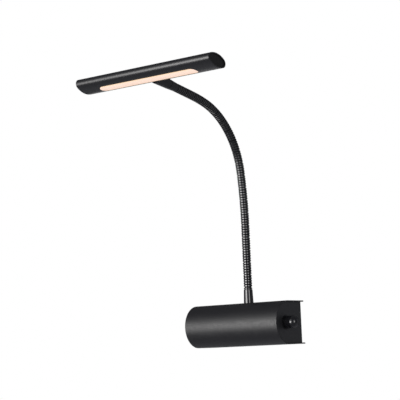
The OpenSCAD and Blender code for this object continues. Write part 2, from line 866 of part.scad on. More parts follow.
// Last rib of a link, hollowed on top as the cup for the next link's foot
module cup_rib() {
    difference() {
        rib();
        translate([0, 0, cup_floor - rib_half]) cylinder(r = cup_r, h = rib_width);
    }
}

// Wall between two ribs, let into both of them by weld
module valley() {
    half = rib_pitch / 2 - rib_half + weld;
    translate([0, 0, -half]) ring(valley_r, hose_bore_r, 2 * half);
}

// Ball foot that stands in the cup below, with the wall up to the next rib
module ball_foot() {
    ball_height = sqrt(ball_r * ball_r - valley_r * valley_r);
    top = rib_pitch - hinge_rise - rib_half + weld;
    rotate_extrude() {
        intersection() {
            circle(ball_r);
            translate([hose_bore_r, 0]) square([ball_r, ball_height]);
        }
        translate([hose_bore_r, ball_height]) square([valley_r - hose_bore_r, top - ball_height]);
    }
}

// One link of the hose, from the ball foot in the cup below to its own cup
module gooseneck_link(i) {
    start = (i - 1) * link_length;
    color(black) {
        at_neck(start + hinge_rise) ball_foot();
        for (k = [1 : ribs_per_link - 1]) {
            at_neck(start + k * rib_pitch) rib();
            at_neck(start + (k + 0.5) * rib_pitch) valley();
        }
        at_neck(start + link_length) cup_rib();
    }
}

// Tapered sleeve on the hose's end, with a socket for the stub
module end_sleeve() {
    color(black) {
        at_neck(neck_links * link_length + hinge_rise) ball_foot();
        at_neck(sleeve_start) difference() {
            cylinder(d1 = sleeve_start_d, d2 = sleeve_end_d, h = sleeve_length);
            translate([0, 0, -cut]) cylinder(r = rib_bore_r, h = sleeve_length);
            translate([0, 0, sleeve_length - sleeve_socket_depth])
                cylinder(r = sleeve_socket_r, h = sleeve_socket_depth + cut);
        }
    }
}

// Stub between sleeve and light bar: a spigot, a taper cut to the oval, and a thread inside the tube
module head_stub() {
    color(black) difference() {
        union() {
            at_neck(sleeve_start + sleeve_length - sleeve_socket_depth + gap)
                cylinder(r = sleeve_socket_r - fit, h = sleeve_socket_depth + stub_groove);
            difference() {
                at_neck(stub_start) cylinder(d1 = stub_start_d, d2 = stub_end_d, h = stub_length + stub_lip);
                in_head() along_x(-head_width, 2 * head_width) oval(-fit);
            }
            at_neck(stub_start + gap)
                cylinder(r = stub_thread_r, h = head_s - stub_tail_y - stub_start - gap);
        }
        at_neck(sleeve_start) cylinder(r = stub_bore_r, h = head_s - sleeve_start);
    }
}

module head_nut() {
    color(steel) at_neck(head_s - stub_nut_y) difference() {
        hex(stub_nut_flats, stub_nut_height);
        translate([0, 0, -cut]) cylinder(r = stub_thread_r + fit, h = stub_nut_height + 2 * cut);
    }
}

// Extruded aluminium tube with the light slot along its underside
module head_shell() {
    color(black) difference() {
        in_head() along_x(-head_length / 2, head_length) oval(0);
        in_head() along_x(-head_length, 2 * head_length) oval(head_wall);
        in_head() translate([0, 0, -head_height]) linear_extrude(head_height)
            stadium(slot_length, slot_width);
        at_neck(head_start - cut) cylinder(r = stub_thread_r + fit, h = head_width / 4);
    }
}

// Push-in end cap with a hollow back, drawn at the left end in the light bar's own frame
module end_cap() {
    difference() {
        along_x(-cap_outer, cap_depth) oval(head_wall + fit);
        along_x(cap_face - cap_outer, cap_depth) oval(head_wall + cap_wall);
    }
}

module head_cap_left() {
    color(dark_grey) in_head() end_cap();
}

module head_cap_right() {
    color(dark_grey) in_head() mirror([1, 0, 0]) end_cap();
}

// Aluminium bar across the tube that carries and cools the LED board
module led_carrier() {
    color(steel) in_head() difference() {
        intersection() {
            along_x(-carrier_length / 2, carrier_length) oval(head_wall + fit);
            translate([-head_length / 2, -head_width, 0])
                cube([head_length, 2 * head_width, carrier_thickness]);
        }
        translate([-carrier_notch / 2, board_width / 2, -cut])
            cube([carrier_notch, head_width, carrier_thickness + 2 * cut]);
    }
}

module led_board() {
    color(white_plastic) in_head() translate([-board_length / 2, -board_width / 2, -board_thickness])
        cube([board_length, board_width, board_thickness]);
}

// LED packages in a row under the board
module led_chips() {
    color([0.95, 0.85, 0.4]) in_head() for (i = [0 : led_count - 1]) {
        translate([(i - (led_count - 1) / 2) * led_pitch - led_length / 2, -led_width / 2,
            -board_thickness - led_height]) cube([led_length, led_width, led_height]);
    }
}

// Opal cover that fills the slot from inside, held by its flange
module diffuser() {
    color([1, 0.9, 0.75]) in_head() {
        intersection() {
            along_x(-head_length / 2, head_length) oval(lens_recess);
            translate([0, 0, -head_height]) linear_extrude(head_height + lens_top)
                stadium(slot_length - 2 * seam, slot_width - 2 * seam);
        }
        intersection() {
            along_x(-head_length / 2, head_length) oval(head_wall + fit);
            translate([0, 0, -head_height]) linear_extrude(head_height + lens_top)
                stadium(flange_length, flange_width);
        }
    }
}

wall_bracket();
cable_grommet();
base_shell();
shell_screws();
end_plate_left();
end_plate_right();
chassis();
led_driver();
driver_screws();
terminal_block();
terminal_screws();
terminal_fixing_screw();
earth_screw();
earth_lead();
mains_leads();
dimmer_leads();
dimmer_body();
knob_bezel();
dimmer_nut();
dimmer_shaft();
knob();
neck_nipple();
neck_washer();
neck_nut();
neck_collar();
neck_cable();
for (i = [1 : neck_links]) gooseneck_link(i);
end_sleeve();
head_stub();
head_nut();
head_shell();
head_cap_left();
head_cap_right();
led_carrier();
led_board();
led_chips();
diffuser();
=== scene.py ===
"""Wall lamp: a half-round base with a dimmer knob, a ribbed gooseneck and a slim oval light bar."""

from math import asin, cos, pi, radians, sin, sqrt

import bmesh
import bpy
from mathutils import Matrix, Vector


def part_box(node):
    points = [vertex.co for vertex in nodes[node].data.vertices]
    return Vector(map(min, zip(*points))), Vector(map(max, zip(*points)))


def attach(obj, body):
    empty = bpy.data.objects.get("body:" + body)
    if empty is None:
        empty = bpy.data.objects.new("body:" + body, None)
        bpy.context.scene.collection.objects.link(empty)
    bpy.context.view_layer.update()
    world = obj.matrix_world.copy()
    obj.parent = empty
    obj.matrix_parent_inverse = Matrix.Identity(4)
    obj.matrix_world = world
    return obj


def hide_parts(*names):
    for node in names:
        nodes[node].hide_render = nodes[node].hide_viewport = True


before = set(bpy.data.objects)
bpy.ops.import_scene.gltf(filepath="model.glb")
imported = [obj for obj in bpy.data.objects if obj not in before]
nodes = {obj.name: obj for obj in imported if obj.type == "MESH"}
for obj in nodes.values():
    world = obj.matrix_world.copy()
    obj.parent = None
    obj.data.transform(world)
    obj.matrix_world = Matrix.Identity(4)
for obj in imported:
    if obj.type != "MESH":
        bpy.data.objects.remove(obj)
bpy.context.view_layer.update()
mm = 0.001


# Wall bracket and chassis: zinc-plated steel sheet, punched and folded. The bracket is screwed
# to the wall, the shell slides over it, and the chassis is welded inside the shell.
class Signal:
    """An output of a shader node. Arithmetic on it adds Math nodes to the same finish."""

    def __init__(self, finish, socket):
        self.finish = finish
        self.socket = socket

    def math(self, operation, first, second):
        return self.finish.node("ShaderNodeMath", {"operation": operation}, {0: first, 1: second})

    def __add__(self, other):
        return self.math("ADD", self, other)

    def __radd__(self, other):
        return self.math("ADD", other, self)

    def __sub__(self, other):
        return self.math("SUBTRACT", self, other)

    def __rsub__(self, other):
        return self.math("SUBTRACT", other, self)

    def __mul__(self, other):
        return self.math("MULTIPLY", self, other)

    def __rmul__(self, other):
        return self.math("MULTIPLY", other, self)


class Finish:
    """A material: a Principled shader with fixed values, and the nodes that vary the rest of them."""

    def __init__(self, name, **fixed):
        self.material = bpy.data.materials.new(name)
        self.material.use_nodes = True
        self.tree = self.material.node_tree
        self.shader = self.tree.nodes["Principled BSDF"]
        for socket, value in fixed.items():
            self.feed(self.shader.inputs[socket.replace("_", " ")], value)
        self.place = self.node("ShaderNodeTexCoord", output="Object")

    def node(self, kind, settings=None, inputs=None, output=0):
        made = self.tree.nodes.new(kind)
        for name, value in (settings or {}).items():
            setattr(made, name, value)
        for name, value in (inputs or {}).items():
            self.feed(made.inputs[name], value)
        return Signal(self, made.outputs[output])

    def feed(self, socket, value):
        if isinstance(value, Signal):
            self.tree.links.new(value.socket, socket)
        else:
            socket.default_value = value

    def noise(self, size, detail=2):
        """Noise whose blotches are about size across, in metres."""
        inputs = {"Vector": self.place, "Scale": 1 / size, "Detail": detail}
        return self.node("ShaderNodeTexNoise", None, inputs)

    def shade(self, factor, first, second):
        return self.node("ShaderNodeMix", {"data_type": "RGBA"}, {0: factor, 6: first, 7: second}, 2)

    def relief(self, height, depth):
        """Bump of the given depth, in metres."""
        inputs = {"Strength": 1.0, "Distance": depth, "Height": height}
        self.vary("Normal", self.node("ShaderNodeBump", None, inputs))

    def vary(self, socket, signal):
        self.feed(self.shader.inputs[socket], signal)


def grey(level):
    return (level, level, level, 1)


def plated(name, first, second, roughness, spangle):
    """Plated or turned metal: shades that drift from spangle to spangle, and a fine brushed grain."""
    finish = Finish(name, Metallic=1.0)
    patches = finish.noise(spangle, 4)
    grain = finish.noise(0.25 * mm, 3)
    finish.vary("Base Color", finish.shade(patches, first, second))
    finish.vary("Roughness", roughness + (patches - 0.5) * 0.2 + (grain - 0.5) * 0.15)
    finish.relief(grain, 0.004 * mm)
    return finish


def dress(finish, *names):
    """Give CAD nodes that stay in view their finish."""
    for name in names:
        nodes[name].material_slots[0].material = finish.material


zinc = plated("zinc_plate", (0.56, 0.57, 0.58, 1), (0.72, 0.72, 0.70, 1), 0.38, 6 * mm)
dress(zinc, "wall_bracket", "chassis")


# Fasteners: zinc-plated steel screws, washer and nuts, blackened grub screws that hold the shell
# on the bracket from below, and the brass screws of the terminals and the earth.
bright_steel = plated("bright_steel", (0.62, 0.62, 0.63, 1), (0.75, 0.75, 0.74, 1), 0.28, 2 * mm)
dress(bright_steel, "driver_screws", "terminal_fixing_screw", "dimmer_nut", "dimmer_shaft")
dress(bright_steel, "neck_nipple", "neck_washer", "neck_nut", "head_nut")
black_steel = plated("blackened_steel", grey(0.03), grey(0.07), 0.35, 1.5 * mm)
dress(black_steel, "shell_screws")
brass = plated("brass", (0.70, 0.50, 0.20, 1), (0.80, 0.62, 0.30, 1), 0.28, 2 * mm)
dress(brass, "terminal_screws", "earth_screw")


# Moulded pieces inside the base: the driver's case and the terminal block in white plastic, the
# dimmer's case in black, and the soft rubber grommet that lines the cable inlet.
def moulded(name, colour, faded, roughness, grain, depth, **fixed):
    """Moulded plastic or rubber: a spark-eroded grain, and shades that drift a little."""
    finish = Finish(name, **fixed)
    drift = finish.noise(9 * mm, 3)
    pits = finish.noise(grain, 2)
    finish.vary("Base Color", finish.shade(drift, colour, faded))
    finish.vary("Roughness", roughness + (pits - 0.5) * 0.12 + (drift - 0.5) * 0.06)
    finish.relief(pits, depth)
    return finish


case_white = moulded("white_case", (0.78, 0.78, 0.75, 1), (0.70, 0.70, 0.66, 1), 0.5, 0.5 * mm, 0.02 * mm)
dress(case_white, "led_driver", "terminal_block")
dimmer_black = moulded("dimmer_case", grey(0.012), grey(0.02), 0.5, 0.4 * mm, 0.02 * mm)
dress(dimmer_black, "dimmer_body")
rubber = moulded("grommet_rubber", grey(0.012), grey(0.022), 0.75, 0.8 * mm, 0.03 * mm)
dress(rubber, "cable_grommet")


# Base shell: steel sheet bent to a U with a half-round front, powder-coated black. Two grub screws
# from below hold it on the bracket, and a hole in its top takes the neck's nipple.
# Both blacks carry a faint blue that stands in for a cool fill light: a painted light tint in the paint's
# colour.
black, soft_black = (0.0045, 0.0046, 0.0060, 1), (0.0075, 0.0077, 0.0100, 1)


def powder_coat(name, roughness, specular, peel_depth, peel_size=1.1 * mm, fleck=0, **fixed):
    """Black powder coat: orange peel, small nibs, and a gloss that drifts and by fleck follows the peel."""
    finish = Finish(name, Specular_IOR_Level=specular, **fixed)
    peel = finish.noise(peel_size, 2)
    nibs = finish.noise(0.35 * mm, 3)
    drift = finish.noise(30 * mm, 3)
    gloss = roughness + (nibs - 0.5) * 0.14 + (drift - 0.5) * 0.06
    if fleck:
        gloss = gloss + (peel - 0.5) * fleck
    finish.vary("Base Color", finish.shade(nibs * 0.6 + drift * 0.4, black, soft_black))
    finish.vary("Roughness", gloss)
    finish.relief(peel * 0.6 + nibs * 0.4, peel_depth)
    return finish


def spun_last(bm, vertex, centre, axis, angle, steps):
    """Carry a vertex round an arc, and return the vertex at its end."""
    spun = bmesh.ops.spin(bm, geom=[vertex], cent=centre, axis=axis, angle=angle, steps=steps)
    return [item for item in spun["geom_last"] if isinstance(item, bmesh.types.BMVert)][0]


def drawn_to(bm, vertex, **place):
    """Draw a straight edge on from a vertex, and return its far end."""
    far = bmesh.ops.extrude_vert_indiv(bm, verts=[vertex])["verts"][0]
    for axis, value in place.items():
        setattr(far.co, axis, value)
    return far


def swept(bm, edges, step):
    """Sweep edges along a straight step into a sheet."""
    made = bmesh.ops.extrude_edge_only(bm, edges=edges)["geom"]
    bmesh.ops.translate(bm, verts=[item for item in made if isinstance(item, bmesh.types.BMVert)], vec=step)


def pushed(bm, faces, step):
    """Extrude faces along a straight step, and return the faces at its far end."""
    made = bmesh.ops.extrude_face_region(bm, geom=faces)["geom"]
    bmesh.ops.translate(bm, verts=[item for item in made if isinstance(item, bmesh.types.BMVert)], vec=step)
    return [item for item in made if isinstance(item, bmesh.types.BMFace)]


def cut_across(bm, place, axis, only=None):
    """Cut the mesh, or the faces that only picks, along a plane without parting it."""
    faces = [face for face in bm.faces if only is None or only(face)]
    edges = {edge for face in faces for edge in face.edges}
    verts = {vert for face in faces for vert in face.verts}
    geom = faces + list(edges) + list(verts)
    bmesh.ops.bisect_plane(bm, geom=geom, dist=1e-7, plane_co=place, plane_no=axis)


def drill(bm, centre, radius, cell, axes):
    """Open a square cell of a flat sheet and bridge it to the round rim of a hole."""
    quarter = 10
    near = lambda face: (face.calc_center_median() - centre).length
    flat = axes[0].cross(axes[1])
    level = lambda face: abs((face.calc_center_median() - centre).dot(flat)) < 0.1 * mm
    for axis in axes:
        for side in (-1, 1):
            cut_across(bm, centre + side * cell * axis, axis, level)
    face = min(bm.faces, key=near)
    bmesh.ops.bisect_edges(bm, edges=face.edges[:], cuts=quarter - 1)
    face = min(bm.faces, key=near)
    frame_edges = face.edges[:]
    bmesh.ops.delete(bm, geom=[face], context="FACES_ONLY")
    turn = flat.to_track_quat("Z", "Y").to_matrix().to_4x4()
    rim = bmesh.ops.create_circle(bm, segments=4 * quarter, radius=radius,
                                  matrix=Matrix.Translation(centre) @ turn)
    rim_edges = list({edge for vert in rim["verts"] for edge in vert.link_edges})
    bmesh.ops.bridge_loops(bm, edges=frame_edges + rim_edges)


def soften(bm, width, segments=3, angle=radians(40)):
    """Round every edge that turns by more than angle."""
    edges = [edge for edge in bm.edges if len(edge.link_faces) == 2 and edge.calc_face_angle() > angle]
    bmesh.ops.bevel(bm, geom=edges, offset=width, affect="EDGES", segments=segments, profile=0.5,
                    material=-1, clamp_overlap=True)


def thickened(bm, wall):
    """Give a sheet its thickness on the inside of its faces."""
    bmesh.ops.recalc_face_normals(bm, faces=bm.faces)
    bmesh.ops.solidify(bm, geom=bm.faces[:], thickness=wall)


def piece(bm, name, finish, slot, *replaced):
    """Turn a bmesh into a smooth-shaded piece that stands for CAD nodes."""
    bmesh.ops.recalc_face_normals(bm, faces=bm.faces)
    for face in bm.faces:
        face.smooth = True
    for edge in bm.edges:
        edge.smooth = len(edge.link_faces) != 2 or edge.calc_face_angle() < radians(35)
    mesh = bpy.data.meshes.new(name)
    bm.to_mesh(mesh)
    bm.free()
    mesh.materials.append(finish.material)
    made = bpy.data.objects.new(name, mesh)
    bpy.context.scene.collection.objects.link(made)
    if replaced:
        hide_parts(*replaced)
    return made


def crisp(made):
    """Keep flat faces flat between rounded edges."""
    weighted = made.modifiers.new("weighted", "WEIGHTED_NORMAL")
    weighted.keep_sharp = True
    return made


X, Y, Z = Vector((1, 0, 0)), Vector((0, 1, 0)), Vector((0, 0, 1))
shell_low, shell_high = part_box("base_shell")
shell_r = shell_high.z
round_y = shell_low.y + shell_r
shell_wall, sheet_edge = 1.5 * mm, 0.12 * mm
neck_low, neck_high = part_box("neck_collar")
neck_y = (neck_low.y + neck_high.y) / 2
grub_low, grub_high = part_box("shell_screws")
grub_r = (grub_high.y - grub_low.y) / 2
nipple_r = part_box("neck_nipple")[1].x


def base_outline(bm, x, r, rear):
    """Draw the base's section, open at the back, and return its first and last vertex."""
    first = bm.verts.new((x, rear, r))
    bend = drawn_to(bm, first, y=round_y)
    last = spun_last(bm, bend, (x, round_y, 0), X, pi, 72)
    return first, drawn_to(bm, last, y=rear)


shell_paint = powder_coat("shell_powder_coat", 0.46, 0.66, 0.05 * mm, peel_size=2.2 * mm, fleck=0.3)
bm = bmesh.new()
base_outline(bm, shell_low.x, shell_r, shell_high.y)
swept(bm, bm.edges[:], (shell_high.x - shell_low.x) * X)
drill(bm, Vector((0, neck_y, shell_r)), nipple_r, cell=7 * mm, axes=(X, Y))
for grub_x in (grub_low.x + grub_r, grub_high.x - grub_r):
    grub_place = Vector((grub_x, (grub_low.y + grub_high.y) / 2, -shell_r))
    drill(bm, grub_place, grub_r, cell=3.2 * mm, axes=(X, Y))
thickened(bm, shell_wall)
soften(bm, sheet_edge, 2)
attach(crisp(piece(bm, "shell", shell_paint, "shell_paint", "base_shell")), "base")


# End plates: flat steel plates set a little inside the shell's ends, each held by two tabs that are
# folded inwards and welded to its walls. The right one carries the dimmer.
plate_seam = 0.02 * mm
plate_r = shell_r - shell_wall - plate_seam
plate_thickness = 2 * mm
tab_thickness, tab_half, tab_length = 1.2 * mm, 7 * mm, 8 * mm
hair = 0.01 * mm
knob_low, knob_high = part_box("knob")
dimmer_y = (knob_low.y + knob_high.y) / 2
bush_r = 3.5 * mm
chassis_low, chassis_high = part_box("chassis")
chassis_sheet = 1.2 * mm
tab_y = (chassis_low.y + chassis_sheet + chassis_high.y) / 2


def end_plate(side):
    """Cut the plate's outline, fold its tabs inwards and round its edges."""
    low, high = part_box("end_plate_right" if side > 0 else "end_plate_left")
    outer = high.x if side > 0 else low.x
    bm = bmesh.new()
    first, last = base_outline(bm, outer, plate_r, high.y)
    bm.edges.new((first, last))
    bmesh.ops.contextual_create(bm, geom=bm.edges[:])
    if side > 0:
        drill(bm, Vector((outer, dimmer_y, 0)), bush_r, cell=6 * mm, axes=(Y, Z))
    bmesh.ops.recalc_face_normals(bm, faces=bm.faces)
    step = -side * plate_thickness * X
    pushed(bm, bm.faces[:], step)
    back = lambda face: abs(face.calc_center_median().x - outer - step.x) < hair
    for y in (tab_y - tab_half, tab_y + tab_half):
        cut_across(bm, Vector((0, y, 0)), Y, back)
    for z in (tab_thickness - plate_r, plate_r - tab_thickness):
        cut_across(bm, Vector((0, 0, z)), Z, back)
    tabs = [face for face in bm.faces if back(face)
            and abs(face.calc_center_median().y - tab_y) < tab_half
            and abs(face.calc_center_median().z) > plate_r - tab_thickness]
    pushed(bm, tabs, -side * tab_length * X)
    soften(bm, sheet_edge, 2)
    return bm


plate_paint = powder_coat("plate_powder_coat", 0.5, 0.9, 0.03 * mm)
for side, end in ((-1, "left"), (1, "right")):
    plate = piece(end_plate(side), f"end_cover_{end}", plate_paint, "plate_paint", f"end_plate_{end}")
    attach(crisp(plate), "base")


# Leads inside the base: the striped earth lead with its ring tag, the two mains leads from the
# terminal block to the driver, and the dimmer's three leads. Stranded copper in PVC.
def wire(name, points, radius, finish, slot, *replaced):
    """Lay a round lead along a smooth route."""
    curve = bpy.data.curves.new(name, "CURVE")
    curve.dimensions = "3D"
    curve.bevel_depth = radius
    curve.bevel_resolution = 4
    curve.use_fill_caps = True
    spline = curve.splines.new("BEZIER")
    spline.bezier_points.add(len(points) - 1)
    for knot, point in zip(spline.bezier_points, points):
        knot.co = Vector(point) * mm
        knot.handle_left_type = knot.handle_right_type = "AUTO"
    rail = bpy.data.objects.new(name + "_rail", curve)
    mesh = bpy.data.meshes.new_from_object(rail)
    bpy.data.objects.remove(rail)
    bm = bmesh.new()
    bm.from_mesh(mesh)
    bpy.data.meshes.remove(mesh)
    bmesh.ops.remove_doubles(bm, verts=bm.verts, dist=0.001 * mm)
    return piece(bm, name, finish, slot, *replaced)


def turned(outline, steps=72):
    """Turn an outline of radius and height about Z into a closed ring."""
    bm = bmesh.new()
    verts = [bm.verts.new((radius, 0, height)) for radius, height in outline]
    for near_end, far_end in zip(verts, verts[1:] + verts[:1]):
        bm.edges.new((near_end, far_end))
    bmesh.ops.spin(bm, geom=bm.verts[:] + bm.edges[:], cent=(0, 0, 0), axis=Z, angle=2 * pi,
                   steps=steps, use_merge=True)
    bmesh.ops.remove_doubles(bm, verts=bm.verts, dist=0.0005 * mm)
    return bm


lead_r = 0.9 * mm
earth_pvc = moulded("earth_pvc", (0.10, 0.30, 0.06, 1), (0.75, 0.62, 0.05, 1), 0.4, 0.6 * mm, 0.01 * mm)
stripes = earth_pvc.node("ShaderNodeTexWave", {"bands_direction": "X"},
                         {"Vector": earth_pvc.place, "Scale": 150.0, "Distortion": 1.0})
earth_pvc.vary("Base Color", earth_pvc.shade(stripes, (0.10, 0.30, 0.06, 1), (0.75, 0.62, 0.05, 1)))
brown_pvc = moulded("brown_pvc", (0.16, 0.08, 0.04, 1), (0.20, 0.10, 0.05, 1), 0.4, 0.6 * mm, 0.01 * mm)
blue_pvc = moulded("blue_pvc", (0.02, 0.10, 0.45, 1), (0.03, 0.14, 0.52, 1), 0.4, 0.6 * mm, 0.01 * mm)
dimmer_pvc = moulded("dimmer_pvc", (0.55, 0.55, 0.52, 1), (0.48, 0.48, 0.45, 1), 0.4, 0.6 * mm, 0.01 * mm)
terminal_x, terminal_pitch = 24, 8.4
tag_place = Matrix.Translation(Vector((6, -26.43, -15)) * mm) @ Matrix.Rotation(-pi / 2, 4, "X")
tag_hole_r, tag_r, tag_thickness = 2.05 * mm, 3.5 * mm, 0.8 * mm
earth_route = [(6, -25.43, -11.3), (6, -24.43, -7), (10, -21.93, 2), (15.6, -20.93, 0), (15.6, -20.93, -3),
               (15.6, -20.93, -8)]
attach(wire("earth_wire", earth_route, lead_r, earth_pvc, "earth_insulation", "earth_lead"), "base")
bm = turned([(tag_hole_r, 0), (tag_r, 0), (tag_r, tag_thickness), (tag_hole_r, tag_thickness)], 40)
soften(bm, 0.1 * mm, 2)
bmesh.ops.transform(bm, matrix=tag_place, verts=bm.verts)
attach(piece(bm, "earth_tag", brass, "brass"), "base")
for i, pvc in ((0, blue_pvc), (1, brown_pvc)):
    x, step = terminal_x + terminal_pitch * i, 3 * (i - 0.5)
    route = [(x, -20.93, -8), (x, -20.93, -3), (x, -20.93, 3 * i - 1), (terminal_x, -22.43, 5 + step),
             (21, -29.63, 5 + step), (13, -36.63, 2 + 3 * i), (0, -39.63, 3 * i - 2),
             (-5.7, -39.63, 3 * i - 2)]
    replaced = ("mains_leads",) if i == 0 else ()
    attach(wire(f"mains_wire_{i + 1}", route, lead_r, pvc, "lead_insulation", *replaced), "base")
for i in range(3):
    across = -34.5 - 3 * i
    route = [(48.2, across, -6), (41, across, -6), (2, -35.63 - 3 * i, -9), (-5.7, -35.63 - 3 * i, -9)]
    replaced = ("dimmer_leads",) if i == 0 else ()
    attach(wire(f"dimmer_wire_{i + 1}", route, lead_r, dimmer_pvc, "lead_insulation", *replaced), "base")


# Knob: a smooth black moulding with a ball end, pushed on the dimmer's shaft. A thin ring under it
# covers the plate's hole.
def arc(centre, radius, start, end, steps):
    """Points of an arc in radius and height, from one angle to another."""
    turns = [start + (end - start) * k / steps for k in range(steps + 1)]
    return [(centre[0] + radius * cos(t), centre[1] + radius * sin(t)) for t in turns]


knob_r = (knob_high.y - knob_low.y) / 2
knob_length = knob_high.x - knob_low.x
knob_body = knob_length - knob_r
foot_edge = 0.4 * mm
hollow_r, hollow_depth = 6.37 * mm, 3.8 * mm
shaft_r, shaft_depth = 2.05 * mm, 10.3 * mm
knob_outline = [(shaft_r, hollow_depth), (hollow_r, hollow_depth), (hollow_r, 0), (knob_r - foot_edge, 0)]
knob_outline += arc((knob_r - foot_edge, foot_edge), foot_edge, -pi / 2, 0, 4)[1:]
knob_outline += arc((0, knob_body), knob_r, 0, pi / 2, 32)
knob_outline += [(0, shaft_depth), (shaft_r, shaft_depth)]
on_dimmer = Matrix.Translation((0, dimmer_y, 0)) @ Matrix.Rotation(pi / 2, 4, "Y")

knob_plastic = moulded("knob_plastic", black, soft_black, 0.12, 1.5 * mm, 0.002 * mm,
                       Specular_IOR_Level=0.75)
bm = turned(knob_outline, 96)
bmesh.ops.transform(bm, matrix=Matrix.Translation((knob_low.x, 0, 0)) @ on_dimmer, verts=bm.verts)
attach(piece(bm, "dimmer_knob", knob_plastic, "knob_plastic", "knob"), "knob")

bezel_low, bezel_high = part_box("knob_bezel")
bezel_r = (bezel_high.y - bezel_low.y) / 2
bezel_top = bezel_high.x - bezel_low.x
bm = turned([(bush_r, 0), (bezel_r, 0), (bezel_r, bezel_top), (bush_r, bezel_top)], 96)
soften(bm, sheet_edge)
bmesh.ops.transform(bm, matrix=Matrix.Translation((bezel_low.x, 0, 0)) @ on_dimmer, verts=bm.verts)
ring_plastic = moulded("ring_plastic", black, soft_black, 0.5, 0.6 * mm, 0.006 * mm, Specular_IOR_Level=0.4)
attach(crisp(piece(bm, "knob_ring", ring_plastic, "knob_plastic", "knob_bezel")), "base")


# Neck collar: a slightly tapered turned ring, painted black, screwed on the nipple. Above a groove its
# top is a rib like the hose's, and the hose's foot stands in a cup in it.
hose_bore = 3.2 * mm
cup_r, cup_depth = 4.6 * mm, 1.4 * mm
collar_height = neck_high.z - neck_low.z
collar_foot_r = (neck_high.x - neck_low.x) / 2
collar_top_r = 5.45 * mm
collar_taper = collar_height - 2.5 * mm
collar_rim = 0.85 * mm
nipple_grip = 9 * mm
rib_pitch, rib_half = 3.12 * mm, 0.62 * mm
crest_r, rib_side_r, groove_depth = 5.28 * mm, 5.24 * mm, 0.55 * mm
valley_r = rib_side_r - groove_depth
crown_r = (rib_half ** 2 + (crest_r - rib_side_r) ** 2) / 2 / (crest_r - rib_side_r)
crown_turn = asin(rib_half / crown_r)
groove_half = rib_pitch / 2 - rib_half
groove_r = (groove_half ** 2 + groove_depth ** 2) / 2 / groove_depth
groove_turn = asin(groove_half / groove_r)
lip_turn = asin((rib_pitch / 2 - collar_rim) / groove_r)


def crown(s):
    """Outline of a rib's slightly domed top, with its middle at height s."""
    return arc((crest_r - crown_r, s), crown_r, -crown_turn, crown_turn, 6)


def groove(s, first_turn=groove_turn, last_turn=-groove_turn):
    """Outline of a round groove with its middle at height s, or of a part of it."""
    return arc((valley_r + groove_r, s), groove_r, pi + first_turn, pi + last_turn, 8)


def cup(s):
    """Outline from the top of a rib at height s over its lip, and down into the cup that it holds."""
    floor = s + collar_rim - cup_depth
    lip = groove(s + rib_pitch / 2, groove_turn, lip_turn)
    return lip[1:] + [(cup_r, s + collar_rim), (cup_r, floor), (hose_bore, floor)]


collar_paint = powder_coat("collar_paint", 0.13, 0.8, 0.003 * mm)
top_rib = collar_height - collar_rim
collar_outline = [(nipple_r, 0), (collar_foot_r, 0), (collar_top_r, collar_taper), (valley_r, collar_taper)]
collar_outline += groove(top_rib - rib_pitch / 2, 0) + crown(top_rib)[1:] + cup(top_rib)
bm = turned(collar_outline + [(hose_bore, nipple_grip), (nipple_r, nipple_grip)])
soften(bm, 0.06 * mm, 2)
bmesh.ops.translate(bm, verts=bm.verts, vec=(0, neck_y, neck_low.z))
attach(crisp(piece(bm, "collar", collar_paint, "collar_paint", "neck_collar")), "base")


# Gooseneck: a black ribbed hose that holds the shape it is bent to, a chain of links of five ribs. Each
# link's ball foot stands in the cup of the one below. A link is drawn straight and laid along the neck.
ribs_per_link = 5
link_count = 20
link_length = ribs_per_link * rib_pitch
sleeve_start = link_count * link_length + rib_pitch - collar_rim
ball_r, ball_height = cup_r - 0.25 * mm, 0.66 * mm
ankle_r, ankle_top, ankle_step = ball_r - 0.05 * mm, 1.12 * mm, 0.2 * mm
hinge_rise = 0.68 * mm
neck_foot = neck_high.z - collar_rim
neck_runs = ((75 * mm, 0), (70 * mm, 8), (112 * mm, 65), (25 * mm, 6.5))


def neck_place(s):
    """Point and lean of the neck's centre line at distance s from the collar's top rib. Each run of the
    neck has a length and the degrees that it turns by."""
    y, z, lean = neck_y, neck_foot, 0.0
    for length, turn in neck_runs:
        run = min(s, length)
        bend = radians(turn) * run / length
        if turn and run > 0:
            r = run / bend
            y += r * (cos(lean + bend) - cos(lean))
            z += r * (sin(lean + bend) - sin(lean))
        else:
            y -= run * sin(lean)
            z += run * cos(lean)
        lean += bend
        s -= run
        if run < length:
            return Vector((0, y, z)), lean
    return Vector((0, y - s * sin(lean), z + s * cos(lean))), lean


def laid(bm):
    """Bend a piece drawn along Z so that its heights become distances along the neck."""
    for vert in bm.verts:
        centre, lean = neck_place(vert.co.z)
        vert.co = centre + vert.co.x * X + vert.co.y * Vector((0, cos(lean), sin(lean)))


def hose_outline(i):
    """Outline of a link: its foot, five ribs with grooves between them, and its cup or the hose's end."""
    foot = (i - 1) * link_length
    hinge, first_rib = foot + hinge_rise, foot + rib_pitch
    outline = [(hose_bore, hinge), (ball_r, hinge), (ankle_r, hinge + ball_height)]
    outline += [(ankle_r, first_rib - ankle_top), (valley_r, first_rib - ankle_top + ankle_step)]
    for k in range(1, ribs_per_link):
        outline += crown(foot + k * rib_pitch) + groove(foot + (k + 0.5) * rib_pitch)[1:-1]
    outline += crown(foot + link_length)
    if i < link_count:
        outline += cup(foot + link_length)
    else:
        outline += groove(foot + link_length + rib_pitch / 2, groove_turn, 0)[1:]
        outline += [(valley_r, sleeve_start), (hose_bore, sleeve_start)]
    return outline + [(hose_bore, foot + k * rib_pitch) for k in range(ribs_per_link - 1, 0, -1)]


def body_of_link(i):
    """The first link is fixed in the base, and the last two in the head."""
    if i == 1:
        return "base"
    return f"neck_{i:02d}" if i < link_count - 1 else "head"


def cable_length(start, end):
    """Draw a length of the cable between two distances along the neck."""
    steps = [start + (end - start) * k / 6 for k in range(7)]
    bm = turned([(0, start)] + [(cable_r, s) for s in steps] + [(0, end)], 24)
    laid(bm)
    return bm
